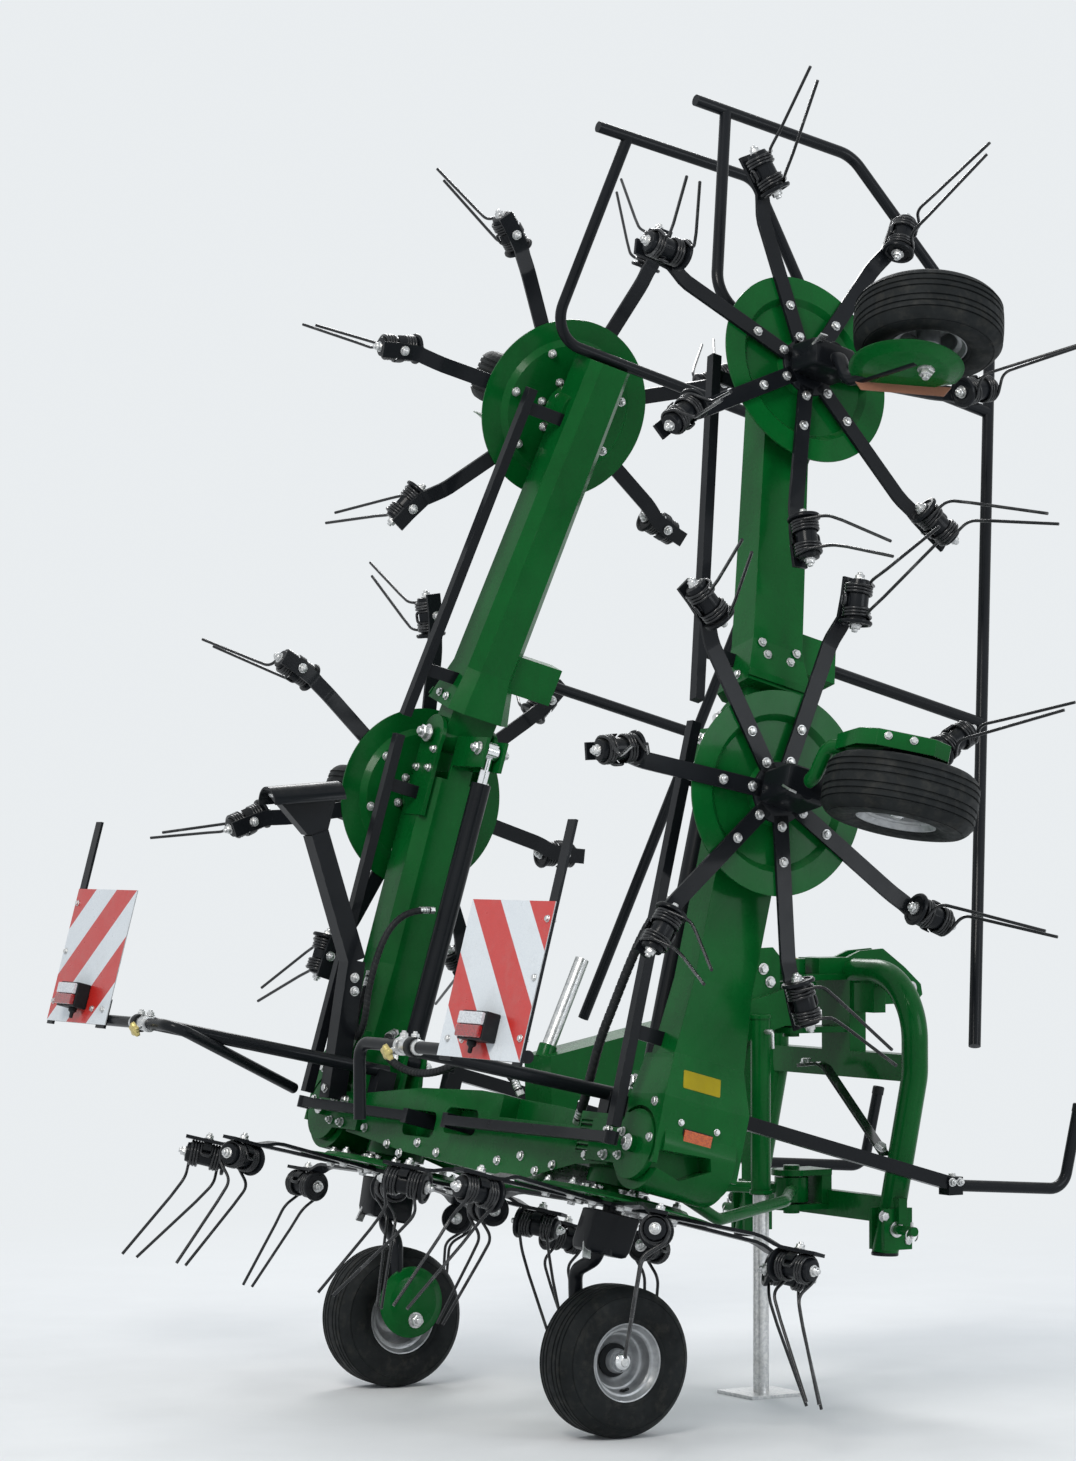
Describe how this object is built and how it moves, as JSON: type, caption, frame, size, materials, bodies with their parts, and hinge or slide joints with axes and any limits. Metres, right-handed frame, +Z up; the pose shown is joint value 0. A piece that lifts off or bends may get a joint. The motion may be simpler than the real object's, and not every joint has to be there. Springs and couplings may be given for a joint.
{
  "type": "hay tedder",
  "caption": "Mounted rotary hay tedder folded for transport: box beams with tined rotors and wheels, headstock, hydraulic folding wings, guards and warning boards.",
  "frame": {"origin": "centre of the bounding box's bottom face, on the floor", "axes": "+X to the machine's right, +Y forward towards the tractor, +Z up"},
  "size_m": [3.2796, 2.5901, 3.8679],
  "materials": {
    "green_paint": "weathered gloss enamel",
    "black_paint": "worn black paint",
    "galvanised": "galvanised",
    "spring_steel": "dark oiled spring steel",
    "tyre_rubber": "used rubber",
    "board_face": "reflective sheet",
    "lamp_lens": "red and clear lens",
    "chrome_rod": "polished rod"
  },
  "bodies": {
    "frame": {"centre_beam": "green_paint", "centre_legs": "black_paint", "centre_rods": "black_paint", "drawbar": "green_paint", "lower_stays": "green_paint", "front_bars": "black_paint", "board_carriers": "black_paint", "warning_boards": "board_face", "rear_lamps": "lamp_lens", "stowed_tube": "galvanised", "cradle_post": "black_paint"},
    "headstock": {"headstock": "green_paint"},
    "stand": {"parking_stand": "galvanised"},
    "inner_wing_right": {"inner_beam_right": "green_paint", "inner_leg_right": "black_paint", "inner_rod_right": "black_paint"},
    "outer_wing_right": {"outer_beam_right": "green_paint", "outer_leg_right": "black_paint", "outer_rod_right": "black_paint", "guard_frame_right": "black_paint"},
    "cylinder_right": {"cylinder_barrel_right": "black_paint"},
    "cylinder_rod_right": {"cylinder_rod_right": "chrome_rod"},
    "rotor_1_right": {"rotor_1_dish_right": "green_paint", "rotor_1_arms_right": "spring_steel"},
    "wheel_1_right": {"wheel_1_rim_right": "galvanised", "wheel_1_tyre_right": "tyre_rubber"},
    "rotor_2_right": {"rotor_2_dish_right": "green_paint", "rotor_2_arms_right": "spring_steel"},
    "wheel_2_right": {"wheel_2_rim_right": "galvanised", "wheel_2_tyre_right": "tyre_rubber"},
    "rotor_3_right": {"rotor_3_dish_right": "green_paint", "rotor_3_arms_right": "spring_steel"},
    "wheel_3_right": {"wheel_3_rim_right": "galvanised", "wheel_3_tyre_right": "tyre_rubber"},
    "inner_wing_left": {"inner_beam_left": "green_paint", "inner_leg_left": "black_paint", "inner_rod_left": "black_paint"},
    "outer_wing_left": {"outer_beam_left": "green_paint", "outer_leg_left": "black_paint", "outer_rod_left": "black_paint", "guard_frame_left": "black_paint"},
    "cylinder_left": {"cylinder_barrel_left": "black_paint"},
    "cylinder_rod_left": {"cylinder_rod_left": "chrome_rod"},
    "rotor_1_left": {"rotor_1_dish_left": "green_paint", "rotor_1_arms_left": "spring_steel"},
    "wheel_1_left": {"wheel_1_rim_left": "galvanised", "wheel_1_tyre_left": "tyre_rubber"},
    "rotor_2_left": {"rotor_2_dish_left": "green_paint", "rotor_2_arms_left": "spring_steel"},
    "wheel_2_left": {"wheel_2_rim_left": "galvanised", "wheel_2_tyre_left": "tyre_rubber"},
    "rotor_3_left": {"rotor_3_dish_left": "green_paint", "rotor_3_arms_left": "spring_steel"},
    "wheel_3_left": {"wheel_3_rim_left": "galvanised", "wheel_3_tyre_left": "tyre_rubber"}
  },
  "joints": [
    {"name": "headstock_swivel", "type": "hinge", "parent": "frame", "child": "headstock", "pos_m": [0, 0.578, 1.1], "axis": [0, 0, 1], "range_deg": [-15, 15]},
    {"name": "stand_slide", "type": "slide", "parent": "frame", "child": "stand", "axis": [0, 0, 1], "range_m": [0, 0.3]},
    {"name": "inner_fold_right", "type": "hinge", "parent": "frame", "child": "inner_wing_right", "pos_m": [0.894, -0.422, 0.8], "axis": [0, 0.9659, -0.2588], "range_deg": [0, 92.5]},
    {"name": "outer_fold_right", "type": "hinge", "parent": "inner_wing_right", "child": "outer_wing_right", "pos_m": [0.84109, -0.10835, 1.97055], "axis": [0, 0.9659, -0.2588], "range_deg": [0, 14.5]},
    {"name": "cylinder_swing_right", "type": "hinge", "parent": "frame", "child": "cylinder_right", "pos_m": [0.69, -0.37412, 0.9787], "axis": [0, 0.9659, -0.2588], "range_deg": [0, 93]},
    {"name": "cylinder_stroke_right", "type": "slide", "parent": "cylinder_right", "child": "cylinder_rod_right", "axis": [-0.0529, 0.2585, 0.9646], "range_m": [0, 0.4]},
    {"name": "rotor_1_spin_right", "type": "hinge", "parent": "frame", "child": "rotor_1_right", "pos_m": [0.64, -0.46264, 0.64835], "axis": [0, 0.2588, 0.9659], "continuous": true},
    {"name": "wheel_1_roll_right", "type": "hinge", "parent": "frame", "child": "wheel_1_right", "pos_m": [0.64, -0.46264, 0.21335], "axis": [1, 0, 0], "continuous": true},
    {"name": "rotor_2_spin_right", "type": "hinge", "parent": "inner_wing_right", "child": "rotor_2_right", "pos_m": [1.0061, -0.15493, 1.79671], "axis": [-0.999, -0.0113, -0.0421], "continuous": true},
    {"name": "wheel_2_roll_right", "type": "hinge", "parent": "inner_wing_right", "child": "wheel_2_right", "pos_m": [1.42588, -0.04144, 1.78527], "axis": [-0.0436, 0.2586, 0.965], "continuous": true},
    {"name": "rotor_3_spin_right", "type": "hinge", "parent": "outer_wing_right", "child": "rotor_3_right", "pos_m": [0.67167, 0.17406, 3.02452], "axis": [-0.9563, -0.0757, -0.2824], "continuous": true},
    {"name": "wheel_3_roll_right", "type": "hinge", "parent": "outer_wing_right", "child": "wheel_3_right", "pos_m": [1.07349, 0.3146, 3.11404], "axis": [-0.2924, 0.2475, 0.9237], "continuous": true},
    {"name": "inner_fold_left", "type": "hinge", "parent": "frame", "child": "inner_wing_left", "pos_m": [-0.894, -0.422, 0.8], "axis": [0, -0.9659, 0.2588], "range_deg": [0, 92.5]},
    {"name": "outer_fold_left", "type": "hinge", "parent": "inner_wing_left", "child": "outer_wing_left", "pos_m": [-0.84109, -0.10835, 1.97055], "axis": [0, -0.9659, 0.2588], "range_deg": [0, 14.5]},
    {"name": "cylinder_swing_left", "type": "hinge", "parent": "frame", "child": "cylinder_left", "pos_m": [-0.69, -0.37412, 0.9787], "axis": [0, -0.9659, 0.2588], "range_deg": [0, 93]},
    {"name": "cylinder_stroke_left", "type": "slide", "parent": "cylinder_left", "child": "cylinder_rod_left", "axis": [0.0529, 0.2585, 0.9646], "range_m": [0, 0.4]},
    {"name": "rotor_1_spin_left", "type": "hinge", "parent": "frame", "child": "rotor_1_left", "pos_m": [-0.64, -0.46264, 0.64835], "axis": [0, 0.2588, 0.9659], "continuous": true},
    {"name": "wheel_1_roll_left", "type": "hinge", "parent": "frame", "child": "wheel_1_left", "pos_m": [-0.64, -0.46264, 0.21335], "axis": [-1, 0, 0], "continuous": true},
    {"name": "rotor_2_spin_left", "type": "hinge", "parent": "inner_wing_left", "child": "rotor_2_left", "pos_m": [-1.0061, -0.15493, 1.79671], "axis": [0.999, -0.0113, -0.0421], "continuous": true},
    {"name": "wheel_2_roll_left", "type": "hinge", "parent": "inner_wing_left", "child": "wheel_2_left", "pos_m": [-1.42588, -0.04144, 1.78527], "axis": [0.0436, 0.2586, 0.965], "continuous": true},
    {"name": "rotor_3_spin_left", "type": "hinge", "parent": "outer_wing_left", "child": "rotor_3_left", "pos_m": [-0.67167, 0.17406, 3.02452], "axis": [0.9563, -0.0757, -0.2824], "continuous": true},
    {"name": "wheel_3_roll_left", "type": "hinge", "parent": "outer_wing_left", "child": "wheel_3_left", "pos_m": [-1.07349, 0.3146, 3.11404], "axis": [0.2924, 0.2475, 0.9237], "continuous": true}
  ],
  "couplings": [
    {"joint": "cylinder_swing_right", "follows": "inner_fold_right", "ratio": 0.997},
    {"joint": "cylinder_stroke_right", "follows": "inner_fold_right", "m_per_rad": 0.2465},
    {"joint": "rotor_2_spin_right", "follows": "rotor_1_spin_right", "ratio": -1},
    {"joint": "rotor_3_spin_right", "follows": "rotor_1_spin_right", "ratio": 1},
    {"joint": "cylinder_swing_left", "follows": "inner_fold_left", "ratio": 0.997},
    {"joint": "cylinder_stroke_left", "follows": "inner_fold_left", "m_per_rad": 0.2465},
    {"joint": "rotor_1_spin_left", "follows": "rotor_1_spin_right", "ratio": -1},
    {"joint": "rotor_2_spin_left", "follows": "rotor_1_spin_right", "ratio": 1},
    {"joint": "rotor_3_spin_left", "follows": "rotor_1_spin_right", "ratio": -1}
  ]
}
